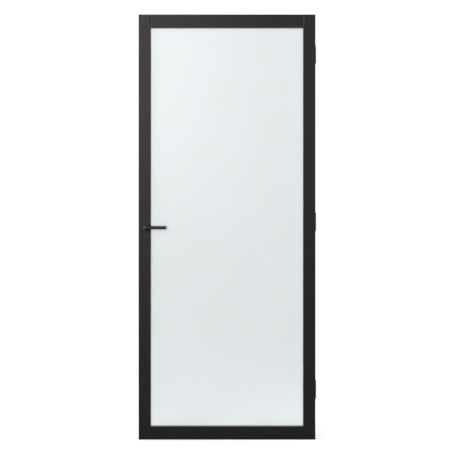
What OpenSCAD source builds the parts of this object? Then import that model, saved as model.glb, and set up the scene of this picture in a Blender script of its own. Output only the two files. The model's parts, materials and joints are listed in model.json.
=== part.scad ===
// Framed glass door leaf, latch side on the left, hinge side on the right.
// X runs to the right, Y away from the front face, Z up. Millimetres.
// The origin is the middle of the leaf's bottom edge.

/* [Leaf] */
// Width of the leaf
leaf_w = 880; // [700:1:1100]
// Height of the leaf
leaf_h = 2115; // [1750:1:2600]
// Thickness of the leaf
leaf_t = 40; // [38:1:50]
// Width of the two stiles
stile_w = 60; // [58:1:90]
// Height of the top and bottom rails
rail_h = 64; // [56:1:120]
// Width of one side of the V joint at the top corners
joint_chamfer = 2.5; // [1:0.1:4]

/* [Glazing] */
// Thickness of the glass
glass_t = 8; // [6:0.2:10]
// How far the frame covers the edge of the glass
glass_cover = 9; // [7:0.5:12]
// Gap between the glass edge and the bottom of the rebate
glass_gap = 3; // [2:0.5:4]
// Thickness of the glazing tapes
tape_t = 3; // [2:0.5:3.5]
// Length of a setting block
block_l = 100; // [60:5:150]
// Diameter of the bead pins
pin_d = 1.4; // [1:0.1:2]
// Length of the bead pins
pin_l = 25; // [20:1:30]
// Diameter of the corner dowels
dowel_d = 10; // [8:1:12]
// Length of the corner dowels
dowel_l = 80; // [60:2:84]

/* [Lock] */
// Height of the handle axis above the bottom edge
axis_h = 1054; // [950:1:1100]
// Distance from the latch edge to the handle axis
backset = 30; // [28:0.5:32]
// Height of the lock case
case_h = 108; // [106:1:130]
// Thickness of the lock case
case_t = 16; // [15:0.2:19.2]
// Sheet thickness of the lock case
sheet_t = 1.5; // [1:0.1:2]
// Height of the forend
forend_h = 170; // [160:1:220]
// Width of the forend
forend_w = 20; // [18:1:24]
// Thickness of the forend
forend_t = 3; // [2.5:0.1:3.5]
// How far the strike's magnet draws the latch out
latch_out = 9; // [6:0.5:9]
// Height of the latch
latch_h = 20; // [14:1:22]
// Thickness of the latch
latch_t = 12; // [10:0.5:12]
// Radius of the follower arm
arm_r = 17.5; // [16:0.5:18]
// Lever turn, in degrees
lever_turn = 35; // [30:1:35]

/* [Handle] */
// Diameter of the lever bar
bar_d = 16; // [14:0.2:19.2]
// Reach of the lever from its axis to its end
lever_l = 108; // [90:1:140]
// Distance from the leaf face to the middle of the bar
lever_out = 47; // [42:1:60]
// Width and height of the square rosette
rosette_w = 30; // [30:0.5:34]
// Thickness of the rosette
rosette_t = 8; // [7:0.5:12]
// Width of the square spindle
spindle_w = 8; // [7:0.5:9]

/* [Hinges] */
// Height of a hinge
hinge_h = 89; // [72:0.5:110]
// Thickness of a hinge plate
plate_t = 2.5; // [2:0.1:3]
// Diameter of the hinge pin
hinge_pin_d = 7; // [6:0.2:8]
// Gap between the leaf and the door frame it hangs in
leaf_gap = 3; // [2.5:0.1:4]
// Height of the bottom hinge's middle
bottom_hinge_h = 245; // [150:1:400]
// Distance from the leaf's top to the top hinge's middle
top_hinge_drop = 195; // [120:1:400]

/* [Hidden] */
$fn = 48;
eps = 0.01;

// Clearances
fit = 0.1;
running = 0.05;
rest_gap = 0.3;

// Leaf: faces, edges and the sight lines of the glass opening
front_y = -leaf_t / 2;
back_y = leaf_t / 2;
edge_x = leaf_w / 2;
sight_x = edge_x - stile_w;
sight_bottom = rail_h;
sight_top = leaf_h - rail_h;
rebate = glass_cover + glass_gap;
rebate_x = sight_x + rebate;
rebate_bottom = sight_bottom - rebate;
rebate_top = sight_top + rebate;
lip_y = -glass_t / 2 - tape_t;
bead_y = glass_t / 2 + tape_t;
bead_t = back_y - bead_y;
glass_x = sight_x + glass_cover;
glass_bottom = sight_bottom - glass_cover;
glass_top = sight_top + glass_cover;

// Glazing blocks, as shares of the pane's height and width
block_places = [0.12, 0.88];

// Bead pins
pin_sunk = 0.5;
pin_end = 60;
pins_up = 7;
pins_across = 4;
pin_y = bead_y + bead_t / 2;

// Corner dowels, two at each corner
dowel_in = dowel_l / 2 - 2;
dowel_steps = [0.27, 0.73];
dowel_y = (lip_y + back_y) / 2;

// Lock, measured from the handle axis
axis_x = -edge_x + backset;
forend_rise = 10;
forend_mid = axis_h + forend_rise;
forend_screw_in = 11;
forend_screw = [4, 2, 25];
case_below = 44;
case_behind = 13.5;
case_bottom = axis_h - case_below;
case_x0 = -edge_x + forend_t;
case_x1 = axis_x + case_behind;
case_room_x = case_x1 - sheet_t;
case_room_y = case_t / 2 - sheet_t;
mortise_gap = 0.3;
latch_lift = 4.5;
latch_low = axis_h + arm_r + latch_lift;
latch_mid = latch_low + latch_h / 2;
latch_y = latch_t / 2;
// The latch lies flush in the forend until a strike's magnet draws it out
latch_face_x = -edge_x + rest_gap;
magnet_t = 4;
magnet_w = 7;
magnet_h = 12;
arm_lean = lever_turn / 2;
arm_half = 2;
// The lug stands just clear of the arm's tip when the lever is fully down
lug_x = axis_x + arm_r * sin(arm_lean) + arm_half * cos(arm_lean) + rest_gap;
lug_t = 2.5;
lug_y = 3.5;
// Its lower end clears the resting arm when the latch is drawn out
lug_low = axis_h + (arm_half / cos(arm_lean) + rest_gap + latch_out - (lug_x - axis_x)) / tan(arm_lean);
latch_rear_x = lug_x + lug_t;
latch_bore_r = 4;
latch_bore_l = 20;
latch_bore_x = latch_rear_x - latch_bore_l;
latch_coil = [2.9, 0.4, 9];
hub_r = 9.5;
boss_r = 7;
square_gap = 0.1;
toe_r = 17;
toe_t = 6;
toe_top = axis_h + 1;
seat_drop = 2.5;
spring_seat_z = latch_low - seat_drop;
spring_ahead = 13.5;
seat_half = 5.5;
spring_x = axis_x - spring_ahead;
spring_coil = [2.4, 0.45, 5];
case_screw = [2.6, 1.5, 7];
post_r = 3;
post_in_x = post_r + 2;
post_in_z = post_r + 3;
// Corner posts of the lock case: [x, z]
posts = [
    for (x = [case_x0 + post_in_x, case_x1 - post_in_x])
        for (z = [case_bottom + post_in_z, case_bottom + case_h - post_in_z])
            [x, z]
];

// Handle
spindle_reach = 26;
spindle_l = leaf_t + 2 * spindle_reach;
neck_r = bar_d / 2;
elbow_inner_r = 4;
elbow_r = neck_r + elbow_inner_r;
tip_chamfer = 1;
journal_r = neck_r - 1;
bush_r = journal_r + 2;
base_hole_r = bush_r + fit;
ring_wall = 1.8;
rosette_wall = 1.3;
base_t = 3;
bush_proud = 0.3;
door_hole_r = bush_r - 1;
grub_r = 2.5;
grub_out = 9;
grub_y = front_y - rosette_t - grub_out;
rosette_screw = [2.6, 1.3, 10];
// The screws sit on a diagonal, just outside the ring
rosette_screw_at = (base_hole_r + ring_wall + rosette_screw[0] + rest_gap) / sqrt(2);

// Hinges
pin_r = hinge_pin_d / 2;
pin_head_h = 3;
pin_head_chamfer = 1.2;
knuckle_r = pin_r + plate_t;
hinge_x = edge_x + leaf_gap / 2;
hinge_y = back_y + knuckle_r + 1;
plate_depth = 34;
plate_front_y = back_y - plate_depth;
plate_corner_r = 8;
knuckle_gap = 0.2;
ring_h = 2;
hinge_mids = [bottom_hinge_h, (bottom_hinge_h + leaf_h - top_hinge_drop) / 2, leaf_h - top_hinge_drop];
hinge_hole_r = 2.6;
hinge_sink_r = 4.2;
hinge_hole_dy = 18;
hinge_hole_dz = 60;
hinge_holes_y = plate_front_y + plate_depth / 2;
hinge_screw = [4.1, 1.9, 25];

// ---------- shapes used by several pieces ----------

// A box given by its lowest and highest corners
module span(low, high) {
    translate(low) cube(high - low);
}

// A round bar along X from a point
module bar_x(at, length, radius) {
    translate(at) rotate([0, 90, 0]) cylinder(h = length, r = radius);
}

// A round bar along Y from a point
module bar_y(at, length, radius) {
    translate(at) rotate([-90, 0, 0]) cylinder(h = length, r = radius);
}

// A countersunk screw whose head's face is at the origin, pointing along +Z
// size is [head radius, shank radius, length]
module screw(size) {
    head_r = size[0];
    shank_r = size[1];
    sink = head_r - shank_r;
    tip_z = size[2] - shank_r;
    cross = shank_r * 0.7;
    slot = 0.35;
    difference() {
        union() {
            cylinder(h = sink, r1 = head_r, r2 = shank_r);
            translate([0, 0, sink - eps]) cylinder(h = tip_z - sink, r = shank_r);
            translate([0, 0, tip_z - eps]) cylinder(h = shank_r, r1 = shank_r, r2 = 0.3);
        }
        for (turn = [0, 90])
            rotate(turn) span([-cross, -slot, -1], [cross, slot, sink * 0.8]);
    }
}

// The room a screw needs: its head and its shank with a clearance all round
module screw_hole(size) {
    head_r = size[0] + running;
    shank_r = size[1] + running;
    translate([0, 0, -1]) cylinder(h = 1 + eps, r = head_r);
    cylinder(h = head_r - shank_r, r1 = head_r, r2 = shank_r);
    cylinder(h = size[2] + 0.5, r = shank_r);
}

// Points a thing along +X, -X or Y instead of +Z
module along_x(at) { translate(at) rotate([0, 90, 0]) children(); }
module against_x(at) { translate(at) rotate([0, -90, 0]) children(); }
module along_y(at) { translate(at) rotate([-90, 0, 0]) children(); }

// A coil spring: a round wire swept along a helix about Z
// size is [radius of a turn, radius of the wire, number of turns]
module coil(height, size) {
    radius = size[0];
    wire_r = size[1];
    sides = 6;
    steps = 14;
    rings = round(size[2] * steps);
    rise = (height - 2 * wire_r) / rings;
    points = [
        for (i = [0 : rings])
            for (j = [0 : sides - 1])
                let (a = 360 * i / steps, b = 360 * j / sides)
                    [(radius + wire_r * cos(b)) * cos(a),
                     (radius + wire_r * cos(b)) * sin(a),
                     wire_r + i * rise + wire_r * sin(b)]
    ];
    walls = [
        for (i = [0 : rings - 1])
            for (j = [0 : sides - 1])
                let (k = (j + 1) % sides)
                    [i * sides + j, (i + 1) * sides + j, (i + 1) * sides + k, i * sides + k]
    ];
    start = [for (j = [0 : sides - 1]) j];
    end = [for (j = [sides - 1 : -1 : 0]) rings * sides + j];
    polyhedron(points = points, faces = concat(walls, [start, end]));
}

// ---------- leaf frame ----------

// Both stiles as one outline each: a front lip and a back that stops at the rebate
module stile_blank() {
    span([sight_x, front_y, 0], [edge_x, lip_y, leaf_h]);
    span([rebate_x, lip_y, 0], [edge_x, back_y, leaf_h]);
}

// V-joint chamfers beside the top rail, at the front and at the back
module stile_joint_cut() {
    length = leaf_h - sight_top;
    for (place = [[sight_x, front_y], [rebate_x, back_y]])
        translate([place[0], place[1], leaf_h - length / 2])
            rotate(45)
                cube([joint_chamfer * sqrt(2), joint_chamfer * sqrt(2), length + 2 * eps], center = true);
}

module dowel_holes(z0, z1) {
    for (step = dowel_steps)
        bar_x([rebate_x - dowel_l + dowel_in - 1, dowel_y, z0 + (z1 - z0) * step],
              dowel_l + 2, dowel_d / 2 + running);
}

module all_dowel_holes() {
    dowel_holes(0, rebate_bottom);
    dowel_holes(rebate_top, leaf_h);
}

function pin_heights() = [
    for (i = [0 : pins_up])
        sight_bottom + pin_end + (sight_top - sight_bottom - 2 * pin_end) * i / pins_up
];
function pin_widths() = [
    for (i = [0 : pins_across])
        -sight_x + pin_end + (2 * sight_x - 2 * pin_end) * i / pins_across
];

// Bead pins of one side, driven outwards from the glass opening
module side_pins(radius, extra) {
    for (z = pin_heights())
        bar_x([sight_x + pin_sunk, pin_y, z], pin_l + extra, radius);
}

module rail_pins(radius, extra) {
    for (x = pin_widths()) {
        translate([x, pin_y, sight_top + pin_sunk]) cylinder(h = pin_l + extra, r = radius);
        translate([x, pin_y, sight_bottom - pin_sunk - pin_l - extra])
            cylinder(h = pin_l + extra, r = radius);
    }
}

pin_hole_r = pin_d / 2 + running;

module lock_stile() {
    color("#26262a")
        difference() {
            mirror([1, 0, 0]) difference() {
                stile_blank();
                stile_joint_cut();
                all_dowel_holes();
                side_pins(pin_hole_r, 1);
            }
            forend_outline(forend_t + mortise_gap, fit);
            span([case_x0 - eps, -case_t / 2 - mortise_gap, case_bottom - mortise_gap],
                 [case_x1 + mortise_gap, case_t / 2 + mortise_gap, case_bottom + case_h + mortise_gap]);
            bar_y([axis_x, front_y - 1, axis_h], leaf_t + 2, door_hole_r);
            for (z = forend_screw_heights())
                along_x([-edge_x, 0, z]) screw_hole(forend_screw);
            for (side = [0, 1])
                mirror([0, side, 0]) rosette_screw_places() screw_hole(rosette_screw);
        }
}

module hinge_stile() {
    color("#26262a")
        difference() {
            stile_blank();
            stile_joint_cut();
            all_dowel_holes();
            side_pins(pin_hole_r, 1);
            for (z = hinge_mids) {
                translate([0, 0, z]) plate_blank(edge_x - plate_t, plate_t + 1, fit, back_y + 1);
                hinge_screw_places(z) screw_hole(hinge_screw);
            }
        }
}

module rail_blank(front_low, front_high, back_low, back_high) {
    span([-sight_x, front_y, front_low], [sight_x, lip_y, front_high]);
    span([-rebate_x, lip_y, back_low], [rebate_x, back_y, back_high]);
}

module top_rail() {
    color("#26262a")
        difference() {
            rail_blank(sight_top, leaf_h, rebate_top, leaf_h);
            for (side = [0, 1]) mirror([side, 0, 0]) {
                stile_joint_cut();
                all_dowel_holes();
            }
            rail_pins(pin_hole_r, 1);
        }
}

module bottom_rail() {
    color("#26262a")
        difference() {
            rail_blank(0, sight_bottom, 0, rebate_bottom);
            for (side = [0, 1]) mirror([side, 0, 0]) all_dowel_holes();
            rail_pins(pin_hole_r, 1);
        }
}

module corner_dowels() {
    color("#b98f5f")
        for (side = [0, 1]) mirror([side, 0, 0])
            for (z = [rebate_bottom * dowel_steps[0], rebate_bottom * dowel_steps[1],
                      rebate_top + (leaf_h - rebate_top) * dowel_steps[0],
                      rebate_top + (leaf_h - rebate_top) * dowel_steps[1]])
                bar_x([rebate_x - dowel_l + dowel_in, dowel_y, z], dowel_l, dowel_d / 2);
}

// ---------- glazing ----------

module glass_pane() {
    color("#e8eef0", 0.6)
        span([-glass_x, -glass_t / 2, glass_bottom], [glass_x, glass_t / 2, glass_top]);
}

// A flat ring of tape between the glass and its seat
module tape_ring(y0) {
    color("#1b1b1b")
        difference() {
            span([-glass_x, y0, glass_bottom], [glass_x, y0 + tape_t, glass_top]);
            span([-sight_x, y0 - 1, sight_bottom], [sight_x, y0 + tape_t + 1, sight_top]);
        }
}

module front_glazing_tape() { tape_ring(lip_y); }
module back_glazing_tape() { tape_ring(glass_t / 2); }

// One block about a middle, as thick as the glass
module setting_block(middle, size) {
    translate(middle) cube([size[0], glass_t, size[1]], center = true);
}

module setting_blocks() {
    color("#303030") {
        for (share = block_places) {
            x = -glass_x + 2 * glass_x * share;
            z = glass_bottom + (glass_top - glass_bottom) * share;
            for (level = [rebate_bottom, glass_top])
                setting_block([x, 0, level + glass_gap / 2], [block_l, glass_gap]);
            for (place = [-rebate_x, glass_x])
                setting_block([place + glass_gap / 2, 0, z], [glass_gap, block_l]);
        }
    }
}

// A glazing bead with mitred ends: long edge on the rebate, lying along X, back face at back_y
module bead(length) {
    half = length / 2;
    rotate([90, 0, 0]) translate([0, 0, -back_y]) linear_extrude(bead_t)
        polygon([[-half, 0], [half, 0], [half - rebate, rebate], [-half + rebate, rebate]]);
}

module side_bead() {
    translate([rebate_x, 0, (rebate_bottom + rebate_top) / 2]) rotate([0, -90, 0])
        bead(rebate_top - rebate_bottom);
}

module left_glazing_bead() {
    color("#26262a") mirror([1, 0, 0]) difference() {
        side_bead();
        side_pins(pin_hole_r, 1);
    }
}

module right_glazing_bead() {
    color("#26262a") difference() {
        side_bead();
        side_pins(pin_hole_r, 1);
    }
}

module top_glazing_bead() {
    color("#26262a") difference() {
        translate([0, 0, rebate_top]) mirror([0, 0, 1]) bead(2 * rebate_x);
        rail_pins(pin_hole_r, 1);
    }
}

module bottom_glazing_bead() {
    color("#26262a") difference() {
        translate([0, 0, rebate_bottom]) bead(2 * rebate_x);
        rail_pins(pin_hole_r, 1);
    }
}

module bead_pins() {
    color("#8d8f93") {
        for (side = [0, 1]) mirror([side, 0, 0]) side_pins(pin_d / 2, 0);
        rail_pins(pin_d / 2, 0);
    }
}

// ---------- lock ----------

function forend_screw_heights() = [
    forend_mid - forend_h / 2 + forend_screw_in,
    forend_mid + forend_h / 2 - forend_screw_in
];

// A plate with full round ends in the leaf's latch edge
module forend_outline(depth, gap) {
    half = forend_w / 2 + gap;
    reach = forend_h / 2 - forend_w / 2;
    span([-edge_x - eps, -half, forend_mid - reach], [-edge_x + depth, half, forend_mid + reach]);
    for (z = [forend_mid - reach, forend_mid + reach])
        bar_x([-edge_x - eps, 0, z], depth + eps, half);
}

module forend() {
    color("#c9cbcd")
        difference() {
            forend_outline(forend_t, 0);
            span([-edge_x - 1, -latch_y - rest_gap, latch_mid - latch_h / 2 - rest_gap],
                 [-edge_x + forend_t + 1, latch_y + rest_gap, latch_mid + latch_h / 2 + rest_gap]);
            for (z = forend_screw_heights())
                along_x([-edge_x, 0, z]) screw_hole(forend_screw);
        }
}

module forend_screws() {
    color("#b9bbbd")
        for (z = forend_screw_heights())
            along_x([-edge_x, 0, z]) screw(forend_screw);
}

// A screw of the lock case: head flush with the cover, pointing towards the front
module case_screw_place(p) {
    translate([p[0], case_t / 2, p[1]]) rotate([90, 0, 0]) children();
}

// A folded tray: its floor is the front wall, with four edge walls and the fixing posts
module lock_case() {
    y0 = -case_t / 2;
    color("#9a9da0")
        difference() {
            union() {
                difference() {
                    span([case_x0, y0, case_bottom], [case_x1, case_t / 2 - sheet_t, case_bottom + case_h]);
                    span([case_x0 + sheet_t, y0 + sheet_t, case_bottom + sheet_t],
                         [case_x1 - sheet_t, case_t / 2, case_bottom + case_h - sheet_t]);
                }
                for (p = posts) bar_y([p[0], y0 + eps, p[1]], case_t - sheet_t - eps, post_r);
                // Seat of the follower spring
                span([case_x0 + eps, y0 + eps, spring_seat_z],
                     [spring_x + seat_half, case_room_y - 1, spring_seat_z + sheet_t]);
            }
            span([case_x0 - 1, -latch_y - rest_gap, latch_low - rest_gap],
                 [case_x0 + sheet_t + 1, latch_y + rest_gap, latch_low + latch_h + rest_gap]);
            bar_y([axis_x, y0 - 1, axis_h], sheet_t + 2, boss_r + fit);
            for (p = posts) case_screw_place(p) screw_hole(case_screw);
        }
}

module lock_case_cover() {
    y1 = case_t / 2;
    color("#a6a9ac")
        difference() {
            span([case_x0, y1 - sheet_t, case_bottom], [case_x1, y1, case_bottom + case_h]);
            bar_y([axis_x, y1 - sheet_t - 1, axis_h], sheet_t + 2, boss_r + fit);
            for (p = posts) case_screw_place(p) screw_hole(case_screw);
        }
}

module lock_case_screws() {
    color("#7d8084")
        for (p = posts) case_screw_place(p) screw(case_screw);
}

// The room the magnet takes up in the latch's end
module magnet_block(gap) {
    span([latch_face_x, -magnet_w / 2 - gap, latch_mid - magnet_h / 2 - gap],
         [latch_face_x + magnet_t + gap, magnet_w / 2 + gap, latch_mid + magnet_h / 2 + gap]);
}

// The latch: a square bolt with a magnet in its end, a spring bore and a lug for the follower's arm
module latch_bolt() {
    color("#c2c4c6")
        difference() {
            union() {
                span([latch_face_x, -latch_y, latch_low], [latch_rear_x, latch_y, latch_low + latch_h]);
                span([lug_x, -lug_y, lug_low], [latch_rear_x, lug_y, latch_low + 1]);
            }
            translate([-1, 0, 0]) magnet_block(running);
            magnet_block(running);
            bar_x([latch_bore_x, 0, latch_mid], latch_bore_l + 1, latch_bore_r);
        }
}

module latch_magnet() {
    color("#8f9296") magnet_block(0);
}

module latch_spring() {
    color("#5d6064")
        along_x([latch_bore_x + running, 0, latch_mid])
            coil(case_room_x - latch_bore_x - 2 * running, latch_coil);
}

// The follower: hub, case bosses, the arm that draws the latch and the spring's toe
module follower() {
    room = 2 * case_room_y - 2 * rest_gap;
    color("#b8a46a")
        difference() {
            union() {
                bar_y([axis_x, -room / 2, axis_h], room, hub_r);
                bar_y([axis_x, -case_t / 2, axis_h], case_t, boss_r);
                translate([axis_x, 0, axis_h]) rotate([0, -arm_lean, 0])
                    translate([-arm_half, -lug_y, 0]) cube([2 * arm_half, 2 * lug_y, arm_r]);
                span([axis_x - toe_r, -lug_y, toe_top - toe_t], [axis_x, lug_y, toe_top]);
            }
            square_hole(-case_t, case_t, square_gap);
        }
}

module follower_spring() {
    low = toe_top + running;
    color("#5d6064")
        translate([spring_x, 0, low]) coil(spring_seat_z - running - low, spring_coil);
}

// ---------- handle ----------

module spindle() {
    color("#8f9295")
        translate([axis_x, 0, axis_h]) cube([spindle_w, spindle_l, spindle_w], center = true);
}

// The square hole of a lever or the follower, between two depths
module square_hole(y0, y1, gap) {
    half = spindle_w / 2 + gap;
    span([axis_x - half, y0, axis_h - half], [axis_x + half, y1, axis_h + half]);
}

// One lever in its own place at the front: journal, neck, elbow and bar
module lever() {
    shoulder_y = front_y - rosette_t - bush_proud - rest_gap;
    bar_y0 = front_y - lever_out;
    elbow_y = bar_y0 + elbow_r;
    tip_x = axis_x + lever_l - tip_chamfer;
    difference() {
        union() {
            bar_y([axis_x, shoulder_y, axis_h], rosette_t - 1, journal_r);
            bar_y([axis_x, elbow_y, axis_h], shoulder_y - elbow_y + eps, neck_r);
            translate([axis_x + elbow_r, elbow_y, axis_h]) rotate(180)
                rotate_extrude(angle = 90) translate([elbow_r, 0]) circle(r = neck_r);
            bar_x([axis_x + elbow_r - eps, bar_y0, axis_h], tip_x - axis_x - elbow_r + 2 * eps, neck_r);
            along_x([tip_x, bar_y0, axis_h])
                cylinder(h = tip_chamfer, r1 = neck_r, r2 = neck_r - tip_chamfer);
        }
        square_hole(-spindle_l / 2 - 0.5, 0, square_gap / 2);
        translate([axis_x, grub_y, axis_h - neck_r - 1]) cylinder(h = neck_r + 1, r = grub_r + running);
    }
}

module front_lever() { color("#1f1f22") lever(); }
module back_lever() { color("#1f1f22") mirror([0, 1, 0]) lever(); }

// A socket screw in the underside of a lever's neck, its tip on the spindle
module grub_screw() {
    sunk = 0.5;
    length = neck_r - sunk - spindle_w / 2 - running;
    translate([axis_x, grub_y, axis_h - neck_r + sunk])
        difference() {
            cylinder(h = length, r = grub_r);
            translate([0, 0, -1]) cylinder(h = 1 + length / 2, r = 1.44, $fn = 6);
        }
}

module lever_grub_screws() {
    color("#3a3a3d") for (side = [0, 1]) mirror([0, side, 0]) grub_screw();
}

// A square cap with a round hole, open at the back
module rosette() {
    half = rosette_w / 2;
    face = front_y - rosette_t;
    difference() {
        span([axis_x - half, face, axis_h - half], [axis_x + half, front_y, axis_h + half]);
        span([axis_x - half + rosette_wall, face + rosette_wall, axis_h - half + rosette_wall],
             [axis_x + half - rosette_wall, front_y + 1, axis_h + half - rosette_wall]);
        bar_y([axis_x, face - 1, axis_h], rosette_t, bush_r + running);
    }
}

module front_rosette() { color("#232326") rosette(); }
module back_rosette() { color("#232326") mirror([0, 1, 0]) rosette(); }

// Screw places on two opposite corners, heads flush with the base plate
module rosette_screw_places() {
    for (side = [-1, 1])
        along_y([axis_x + side * rosette_screw_at, front_y - base_t, axis_h + side * rosette_screw_at])
            children();
}

// The screwed plate under the cap, with a ring that holds the bush
module rosette_base() {
    half = rosette_w / 2 - rosette_wall - fit;
    ring_t = rosette_t - rosette_wall;
    difference() {
        union() {
            span([axis_x - half, front_y - base_t, axis_h - half], [axis_x + half, front_y, axis_h + half]);
            bar_y([axis_x, front_y - ring_t, axis_h], ring_t, base_hole_r + ring_wall);
        }
        bar_y([axis_x, front_y - rosette_t, axis_h], rosette_t + 1, base_hole_r);
        rosette_screw_places() screw_hole(rosette_screw);
    }
}

module front_rosette_base() { color("#8a8d90") rosette_base(); }
module back_rosette_base() { color("#8a8d90") mirror([0, 1, 0]) rosette_base(); }

module rosette_bush() {
    length = rosette_t + bush_proud;
    difference() {
        bar_y([axis_x, front_y - length, axis_h], length, bush_r);
        bar_y([axis_x, front_y - length - 1, axis_h], length + 2, journal_r + running);
    }
}

module front_rosette_bush() { color("#202020") rosette_bush(); }
module back_rosette_bush() { color("#202020") mirror([0, 1, 0]) rosette_bush(); }

module rosette_screws() {
    color("#7d8084") for (side = [0, 1]) mirror([0, side, 0])
        rosette_screw_places() screw(rosette_screw);
}

// ---------- hinges ----------

// A flat plate with two round corners, from x0, about the hinge's middle
module plate_blank(x0, thickness, gap, y1) {
    half = hinge_h / 2 + gap;
    y0 = plate_front_y - gap;
    r = plate_corner_r;
    span([x0, y0 + r, -half], [x0 + thickness, y1, half]);
    span([x0, y0, -half + r], [x0 + thickness, y0 + r + eps, half - r]);
    for (side = [-1, 1]) bar_x([x0, y0 + r, side * (half - r)], thickness, r);
}

// Screw places of a leaf plate: heads flush with the plate, pointing into the stile
module hinge_screw_places(z) {
    for (dy = [-1, 1]) for (dz = [-1, 1])
        against_x([edge_x, hinge_holes_y + dy * hinge_hole_dy / 2, z + dz * hinge_hole_dz / 2]) children();
}

// Heights of the knuckles' ends from the middle: the leaf's knuckle is the middle one
leaf_knuckle = hinge_h / 6;
frame_knuckle = leaf_knuckle + ring_h + knuckle_gap;

module knuckle(low, high) {
    translate([hinge_x, hinge_y, low]) cylinder(h = high - low, r = knuckle_r);
}

module knuckle_room(low, high) {
    translate([hinge_x, hinge_y, low]) cylinder(h = high - low, r = knuckle_r + rest_gap);
}

module hinge_bore() {
    translate([hinge_x, hinge_y, -hinge_h]) cylinder(h = 2 * hinge_h, r = pin_r + running);
}

module leaf_plate(z) {
    color("#c2c4c5") translate([0, 0, z]) difference() {
        union() {
            plate_blank(edge_x - plate_t, plate_t, 0, hinge_y);
            knuckle(-leaf_knuckle, leaf_knuckle);
        }
        knuckle_room(leaf_knuckle, hinge_h);
        knuckle_room(-hinge_h, -leaf_knuckle);
        hinge_bore();
        translate([0, 0, -z]) hinge_screw_places(z) screw_hole(hinge_screw);
    }
}

module frame_plate(z) {
    x0 = edge_x + leaf_gap;
    color("#c2c4c5") translate([0, 0, z]) difference() {
        union() {
            plate_blank(x0, plate_t, 0, hinge_y);
            knuckle(frame_knuckle, hinge_h / 2);
            knuckle(-hinge_h / 2, -frame_knuckle);
        }
        knuckle_room(-frame_knuckle, frame_knuckle);
        hinge_bore();
        for (dy = [-1, 1]) for (dz = [-1, 1])
            along_x([x0, hinge_holes_y + dy * hinge_hole_dy / 2, dz * hinge_hole_dz / 2]) {
                translate([0, 0, -1]) cylinder(h = plate_t + 2, r = hinge_hole_r);
                translate([0, 0, -eps])
                    cylinder(h = hinge_sink_r - hinge_hole_r, r1 = hinge_sink_r, r2 = hinge_hole_r);
            }
    }
}

// The pin: a head on the top knuckle and a plain lower end
module hinge_pin(z) {
    rim = pin_head_h - pin_head_chamfer;
    color("#b4b6b8") translate([hinge_x, hinge_y, z]) {
        translate([0, 0, -hinge_h / 2]) cylinder(h = hinge_h + eps, r = pin_r);
        translate([0, 0, hinge_h / 2]) cylinder(h = rim, r = knuckle_r);
        translate([0, 0, hinge_h / 2 + rim - eps])
            cylinder(h = pin_head_chamfer, r1 = knuckle_r, r2 = knuckle_r - pin_head_chamfer);
    }
}

// Two bearing rings, each lying on the frame's side of its gap
module hinge_rings(z) {
    color("#b9bbbd") translate([hinge_x, hinge_y, z])
        for (side = [0, 1]) mirror([0, 0, side])
            translate([0, 0, frame_knuckle - ring_h]) difference() {
                cylinder(h = ring_h, r = knuckle_r);
                translate([0, 0, -1]) cylinder(h = ring_h + 2, r = pin_r + running);
            }
}

module bottom_hinge_leaf_plate() { leaf_plate(hinge_mids[0]); }
module middle_hinge_leaf_plate() { leaf_plate(hinge_mids[1]); }
module top_hinge_leaf_plate() { leaf_plate(hinge_mids[2]); }
module bottom_hinge_frame_plate() { frame_plate(hinge_mids[0]); }
module middle_hinge_frame_plate() { frame_plate(hinge_mids[1]); }
module top_hinge_frame_plate() { frame_plate(hinge_mids[2]); }
module bottom_hinge_pin() { hinge_pin(hinge_mids[0]); }
module middle_hinge_pin() { hinge_pin(hinge_mids[1]); }
module top_hinge_pin() { hinge_pin(hinge_mids[2]); }
module bottom_hinge_rings() { hinge_rings(hinge_mids[0]); }
module middle_hinge_rings() { hinge_rings(hinge_mids[1]); }
module top_hinge_rings() { hinge_rings(hinge_mids[2]); }

module leaf_hinge_screws() {
    color("#b4b6b8")
        for (z = hinge_mids) hinge_screw_places(z) screw(hinge_screw);
}

lock_stile();
hinge_stile();
top_rail();
bottom_rail();
corner_dowels();
glass_pane();
front_glazing_tape();
back_glazing_tape();
setting_blocks();
left_glazing_bead();
right_glazing_bead();
top_glazing_bead();
bottom_glazing_bead();
bead_pins();
lock_case();
lock_case_cover();
lock_case_screws();
forend();
forend_screws();
latch_bolt();
latch_magnet();
latch_spring();
follower();
follower_spring();
spindle();
front_lever();
back_lever();
lever_grub_screws();
front_rosette();
back_rosette();
front_rosette_base();
back_rosette_base();
front_rosette_bush();
back_rosette_bush();
rosette_screws();
top_hinge_leaf_plate();
middle_hinge_leaf_plate();
bottom_hinge_leaf_plate();
top_hinge_frame_plate();
middle_hinge_frame_plate();
bottom_hinge_frame_plate();
top_hinge_pin();
middle_hinge_pin();
bottom_hinge_pin();
top_hinge_rings();
middle_hinge_rings();
bottom_hinge_rings();
leaf_hinge_screws();
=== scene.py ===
"""A slim black framed door leaf with one tall pane of satin glass, dressed for its picture."""
import json
import math

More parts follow.
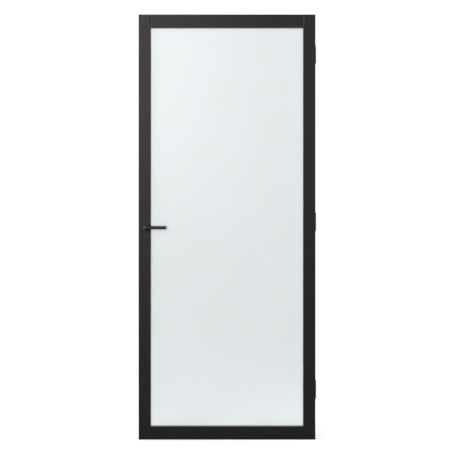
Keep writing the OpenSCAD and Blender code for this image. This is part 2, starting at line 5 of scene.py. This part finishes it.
import bpy
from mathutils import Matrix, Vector


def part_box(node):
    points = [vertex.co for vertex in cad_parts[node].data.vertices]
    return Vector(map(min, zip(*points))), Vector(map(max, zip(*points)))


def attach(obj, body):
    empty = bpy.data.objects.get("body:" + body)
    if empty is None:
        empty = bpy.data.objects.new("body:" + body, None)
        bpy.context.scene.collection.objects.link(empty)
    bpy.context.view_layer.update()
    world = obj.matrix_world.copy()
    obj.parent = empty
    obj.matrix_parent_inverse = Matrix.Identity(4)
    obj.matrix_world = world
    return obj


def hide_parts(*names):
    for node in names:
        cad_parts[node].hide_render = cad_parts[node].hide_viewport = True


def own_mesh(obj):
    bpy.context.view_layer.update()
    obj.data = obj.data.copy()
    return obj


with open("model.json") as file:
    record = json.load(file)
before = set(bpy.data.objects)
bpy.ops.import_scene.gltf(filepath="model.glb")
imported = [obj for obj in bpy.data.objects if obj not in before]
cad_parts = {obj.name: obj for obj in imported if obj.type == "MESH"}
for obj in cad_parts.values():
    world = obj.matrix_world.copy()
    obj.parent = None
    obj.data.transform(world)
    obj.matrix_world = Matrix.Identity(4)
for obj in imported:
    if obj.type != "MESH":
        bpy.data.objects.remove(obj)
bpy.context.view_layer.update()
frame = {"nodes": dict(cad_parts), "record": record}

# The leaf's outline, taken from its two stiles, in metres
STILE_LOW, STILE_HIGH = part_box("lock_stile")
LEAF_LEFT = STILE_LOW[0]
LEAF_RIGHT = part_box("hinge_stile")[1][0]
FRONT = STILE_LOW[1]
HEIGHT = STILE_HIGH[2]
MIDDLE = Vector(((LEAF_LEFT + LEAF_RIGHT) / 2, FRONT, HEIGHT / 2))

# A thousandth of a millimetre, in metres
MICRON = 0.000001

# The part of a noise's range, from 0 to 1, that a colour or a roughness runs over
NOISE_LOW = 0.3
NOISE_HIGH = 0.7


# ---------- material helper ----------

class Paint:
    """A procedural material: one Principled shader and the nodes that feed it."""

    def __init__(self, name, **values):
        """The values are named as the shader's sockets are, with _ in place of each space."""
        self.material = bpy.data.materials.new(name)
        self.material.use_nodes = True
        self.tree = self.material.node_tree
        self.shader = self.tree.nodes["Principled BSDF"]
        for socket, value in values.items():
            self.shader.inputs[socket.replace("_", " ")].default_value = value
        self.place = self.node("ShaderNodeTexCoord").outputs["Object"]
        self.relief = None

    def node(self, kind):
        return self.tree.nodes.new(kind)

    def link(self, source, target):
        self.tree.links.new(source, target)

    def stretched(self, stretch):
        """Coordinates scaled along each axis. A small number draws the pattern out along it."""
        mapping = self.node("ShaderNodeMapping")
        mapping.inputs["Scale"].default_value = stretch
        self.link(self.place, mapping.inputs["Vector"])
        return mapping.outputs["Vector"]

    def noise(self, scale, detail=2, rough=0.5, stretch=(1, 1, 1)):
        """Noise from 0 to 1 with about as many blotches a metre as the scale says."""
        made = self.node("ShaderNodeTexNoise")
        made.inputs["Scale"].default_value = scale
        made.inputs["Detail"].default_value = detail
        made.inputs["Roughness"].default_value = rough
        self.link(self.stretched(stretch), made.inputs["Vector"])
        return made.outputs["Fac"]

    def colours(self, factor, dark, light):
        """A base colour that runs from dark to light as the noise rises."""
        ramp = self.node("ShaderNodeValToRGB")
        ends = ramp.color_ramp.elements
        ends[0].position = NOISE_LOW
        ends[0].color = (*dark, 1)
        ends[1].position = NOISE_HIGH
        ends[1].color = (*light, 1)
        self.link(factor, ramp.inputs["Fac"])
        self.link(ramp.outputs["Color"], self.shader.inputs["Base Color"])

    def roughness(self, factor, low, high):
        """A roughness that runs from low to high as the noise rises."""
        made = self.node("ShaderNodeMapRange")
        limits = {"From Min": NOISE_LOW, "From Max": NOISE_HIGH, "To Min": low, "To Max": high}
        for key, value in limits.items():
            made.inputs[key].default_value = value
        self.link(factor, made.inputs["Value"])
        self.link(made.outputs["Result"], self.shader.inputs["Roughness"])

    def bump(self, factor, depth, strength):
        """Adds a relief of the given depth in metres, on top of what is there."""
        made = self.node("ShaderNodeBump")
        made.inputs["Distance"].default_value = depth
        made.inputs["Strength"].default_value = strength
        self.link(factor, made.inputs["Height"])
        if self.relief:
            self.link(self.relief, made.inputs["Normal"])
        self.relief = made.outputs["Normal"]
        self.link(self.relief, self.shader.inputs["Normal"])


# ---------- materials ----------

def lacquered_timber(name, along):
    """Satin black lacquer: a sprayed skin with a faint orange peel over grain that runs one way."""
    paint = Paint(name, Specular_IOR_Level=0.1)
    peel = paint.noise(260, detail=3)
    grain = paint.noise(55, detail=4, rough=0.6, stretch=along)
    paint.colours(grain, dark=(0.0028, 0.0024, 0.0022), light=(0.0048, 0.0043, 0.0040))
    paint.roughness(paint.noise(22, detail=3), 0.36, 0.44)
    paint.bump(peel, depth=20 * MICRON, strength=0.35)
    paint.bump(grain, depth=20 * MICRON, strength=0.25)
    return paint.material


def satin_glass():
    """Acid-etched glass: light passes, shapes don't."""
    paint = Paint("satin_glass", Transmission_Weight=0.985, IOR=1.38, Specular_IOR_Level=0.04)
    paint.colours(paint.noise(3), dark=(0.650, 0.684, 0.692), light=(0.666, 0.699, 0.709))
    paint.roughness(paint.noise(40), 0.33, 0.38)
    paint.bump(paint.noise(1800), depth=10 * MICRON, strength=0.3)
    return paint.material


def satin_black_metal():
    """Powder-coated metal of the levers and rosettes."""
    paint = Paint("black_handle_coat", Specular_IOR_Level=0.13)
    cloud = paint.noise(90, detail=3)
    paint.colours(cloud, dark=(0.0036, 0.0036, 0.0037), light=(0.0058, 0.0058, 0.0060))
    paint.roughness(paint.noise(300), 0.38, 0.46)
    paint.bump(paint.noise(2600), depth=30 * MICRON, strength=0.35)
    return paint.material


def brushed(name, dark, light):
    """Metal with fine lines that run up and down."""
    paint = Paint(name, Metallic=1.0)
    streak = paint.noise(900, detail=3, stretch=(1, 1, 0.03))
    paint.colours(streak, dark, light)
    paint.roughness(streak, 0.26, 0.38)
    paint.bump(streak, depth=10 * MICRON, strength=0.3)
    return paint.material


def plain_metal(name, dark, light, rough=(0.25, 0.4)):
    """Machined or plated metal with an even, slightly cloudy surface."""
    paint = Paint(name, Metallic=1.0)
    cloud = paint.noise(180, detail=4)
    paint.colours(cloud, dark, light)
    paint.roughness(cloud, *rough)
    paint.bump(paint.noise(1500), depth=10 * MICRON, strength=0.25)
    return paint.material


def dull_polymer(name, dark, light, rough=(0.6, 0.75)):
    """Rubber, tape or nylon: no metal, a fine dry grain."""
    paint = Paint(name)
    cloud = paint.noise(1200, detail=3)
    paint.colours(cloud, dark, light)
    paint.roughness(cloud, *rough)
    paint.bump(cloud, depth=30 * MICRON, strength=0.4)
    return paint.material


def beech():
    """Dowel wood with its grain along X."""
    paint = Paint("beech_dowel")
    grain = paint.noise(420, detail=4, rough=0.6, stretch=(0.06, 1, 1))
    paint.colours(grain, dark=(0.42, 0.27, 0.14), light=(0.62, 0.44, 0.26))
    paint.roughness(grain, 0.5, 0.65)
    paint.bump(grain, depth=60 * MICRON, strength=0.5)
    return paint.material


def grey(level):
    """A colour with the same share of red, green and blue."""
    return (level, level, level)


# Stretches of the lacquer's grain, up the stiles and along the rails
UPRIGHT_GRAIN = (6, 6, 0.35)
LEVEL_GRAIN = (0.35, 6, 6)

# One material for each slot of the record
MATERIALS = {
    "black_lacquer": lacquered_timber("black_lacquer_upright", UPRIGHT_GRAIN),
    "satin_glass": satin_glass(),
    "black_handle": satin_black_metal(),
    "stainless": brushed("stainless_brushed", (0.42, 0.42, 0.41), (0.56, 0.56, 0.55)),
    "plated_steel": plain_metal("zinc_plate", (0.50, 0.51, 0.52), (0.66, 0.67, 0.68)),
    "spring_steel": plain_metal("spring_steel", (0.16, 0.16, 0.17), (0.28, 0.28, 0.29)),
    "nickel": plain_metal("magnet_nickel", (0.55, 0.54, 0.51), (0.66, 0.65, 0.62), (0.12, 0.2)),
    "brass": plain_metal("brass", (0.55, 0.42, 0.18), (0.72, 0.57, 0.28)),
    "black_tape": dull_polymer("glazing_tape", grey(0.012), grey(0.022)),
    "setting_block": dull_polymer("setting_block", grey(0.03), grey(0.05), (0.5, 0.6)),
    "nylon": dull_polymer("nylon_bush", grey(0.018), grey(0.03), (0.4, 0.5)),
    "beech": beech(),
}

# The pieces whose grain runs across the leaf
LEVEL_PIECES = ("top_rail", "bottom_rail", "top_glazing_bead", "bottom_glazing_bead")
LEVEL_LACQUER = lacquered_timber("black_lacquer_level", LEVEL_GRAIN)


# ---------- pieces ----------

# Width of the rounded edge of the pieces in these slots, in metres; the others stay sharp
EDGE = {
    "black_lacquer": 0.0003,
    "black_handle": 0.0005,
    "stainless": 0.0001,
    "satin_glass": 0.0006,
}

# An edge is rounded when its two faces differ in direction by more than this
SHARP = math.radians(40)

# Number of strips that make up a round
EDGE_STEPS = 2

# Points closer than this are joined before the rounding, in metres
SAME_POINT = 10 * MICRON

# These have chamfered ends, which a rounded edge would break
CHAMFERED = ("front_lever", "back_lever")


def soften(node, width):
    """A narrow round on the sharp edges, so that they catch light as real ones do."""
    weld = node.modifiers.new("weld", "WELD")
    weld.merge_threshold = SAME_POINT
    bevel = node.modifiers.new("edge", "BEVEL")
    bevel.width = width
    bevel.segments = EDGE_STEPS
    bevel.limit_method = "ANGLE"
    bevel.angle_limit = SHARP
    bevel.use_clamp_overlap = False
    bevel.harden_normals = True


def dress_nodes():
    """Gives every CAD node its material, and rounds the edges of those that EDGE covers."""
    slots = {part["node"]: part["material_slot"] for part in frame["record"]["subparts"]}
    for name, node in frame["nodes"].items():
        slot = slots[name]
        node.data.materials.clear()
        node.data.materials.append(LEVEL_LACQUER if name in LEVEL_PIECES else MATERIALS[slot])
        if slot in EDGE and name not in CHAMFERED:
            soften(node, EDGE[slot])


def follower_coil():
    """A spring in the CAD spring's place, carried by the leaf, with a mesh of its own."""
    rigid = frame["nodes"]["follower_spring"]
    coil = bpy.data.objects.new("follower_coil", rigid.data.copy())
    bpy.context.collection.objects.link(coil)
    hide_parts("follower_spring")
    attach(coil, "leaf")
    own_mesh(coil)


# ---------- studio ----------

# Side of the floor, and how far it lies below the leaf, in metres
FLOOR_SIZE = 400
FLOOR_DROP = 0.001

# Strength of the white light from all around
AIR_STRENGTH = 1.09

# The camera's lens and the width of its sensor, in millimetres
LENS = 100
SENSOR = 36

# The width it sees at the leaf's front face, and how far it sees, in metres
VIEW_WIDTH = 2.259
REACH = 100


def studio_floor():
    """A white floor that runs out of sight."""
    bpy.ops.mesh.primitive_plane_add(size=FLOOR_SIZE, location=(0, 0, -FLOOR_DROP))
    floor = bpy.context.object
    floor.name = "studio_floor"
    paint = Paint("studio_floor", Roughness=0.9)
    paint.colours(paint.noise(2), dark=grey(0.93), light=grey(0.95))
    floor.data.materials.append(paint.material)


def studio_air():
    """White light from all around, which is also the white behind the leaf."""
    world = bpy.data.worlds.new("studio")
    world.use_nodes = True
    background = world.node_tree.nodes["Background"]
    background.inputs["Color"].default_value = (1, 1, 1, 1)
    background.inputs["Strength"].default_value = AIR_STRENGTH
    bpy.context.scene.world = world


def soft_light(name, place, target, size, spread, power):
    """A soft box whose light keeps to a cone of the given width, in degrees."""
    lamp = bpy.data.lights.new(name, "AREA")
    lamp.shape = "RECTANGLE"
    lamp.size, lamp.size_y = size
    lamp.spread = math.radians(spread)
    lamp.energy = power
    holder = bpy.data.objects.new(name, lamp)
    holder.location = place
    view = Vector(target) - Vector(place)
    holder.rotation_euler = view.to_track_quat("-Z", "Y").to_euler()
    bpy.context.collection.objects.link(holder)


def lights():
    """Two lamps in front of the leaf, to its upper left, which brighten that corner most."""
    soft_light(
        "key",
        place=(-2.2, -6.4, 3.1),
        target=MIDDLE + Vector((-0.6, 0, 0.5)),
        size=(2.0, 3.0),
        spread=40,
        power=23,
    )
    soft_light(
        "side",
        place=(-3.7, -1.7, 2.4),
        target=MIDDLE + Vector((0, 0, 1.0)),
        size=(1.2, 2.0),
        spread=50,
        power=100,
    )


def camera():
    """Straight on to the middle of the leaf."""
    data = bpy.data.cameras.new("camera")
    data.lens = LENS
    data.sensor_width = SENSOR
    data.clip_end = REACH
    holder = bpy.data.objects.new("camera", data)
    holder.location = MIDDLE - Vector((0, VIEW_WIDTH * LENS / SENSOR, 0))
    holder.rotation_euler = (math.radians(90), 0, 0)
    bpy.context.collection.objects.link(holder)
    bpy.context.scene.camera = holder


def studio():
    """The floor, air, lights and camera, shown without tone mapping."""
    studio_floor()
    studio_air()
    lights()
    camera()
    bpy.context.scene.view_settings.view_transform = "Standard"


dress_nodes()
follower_coil()
studio()
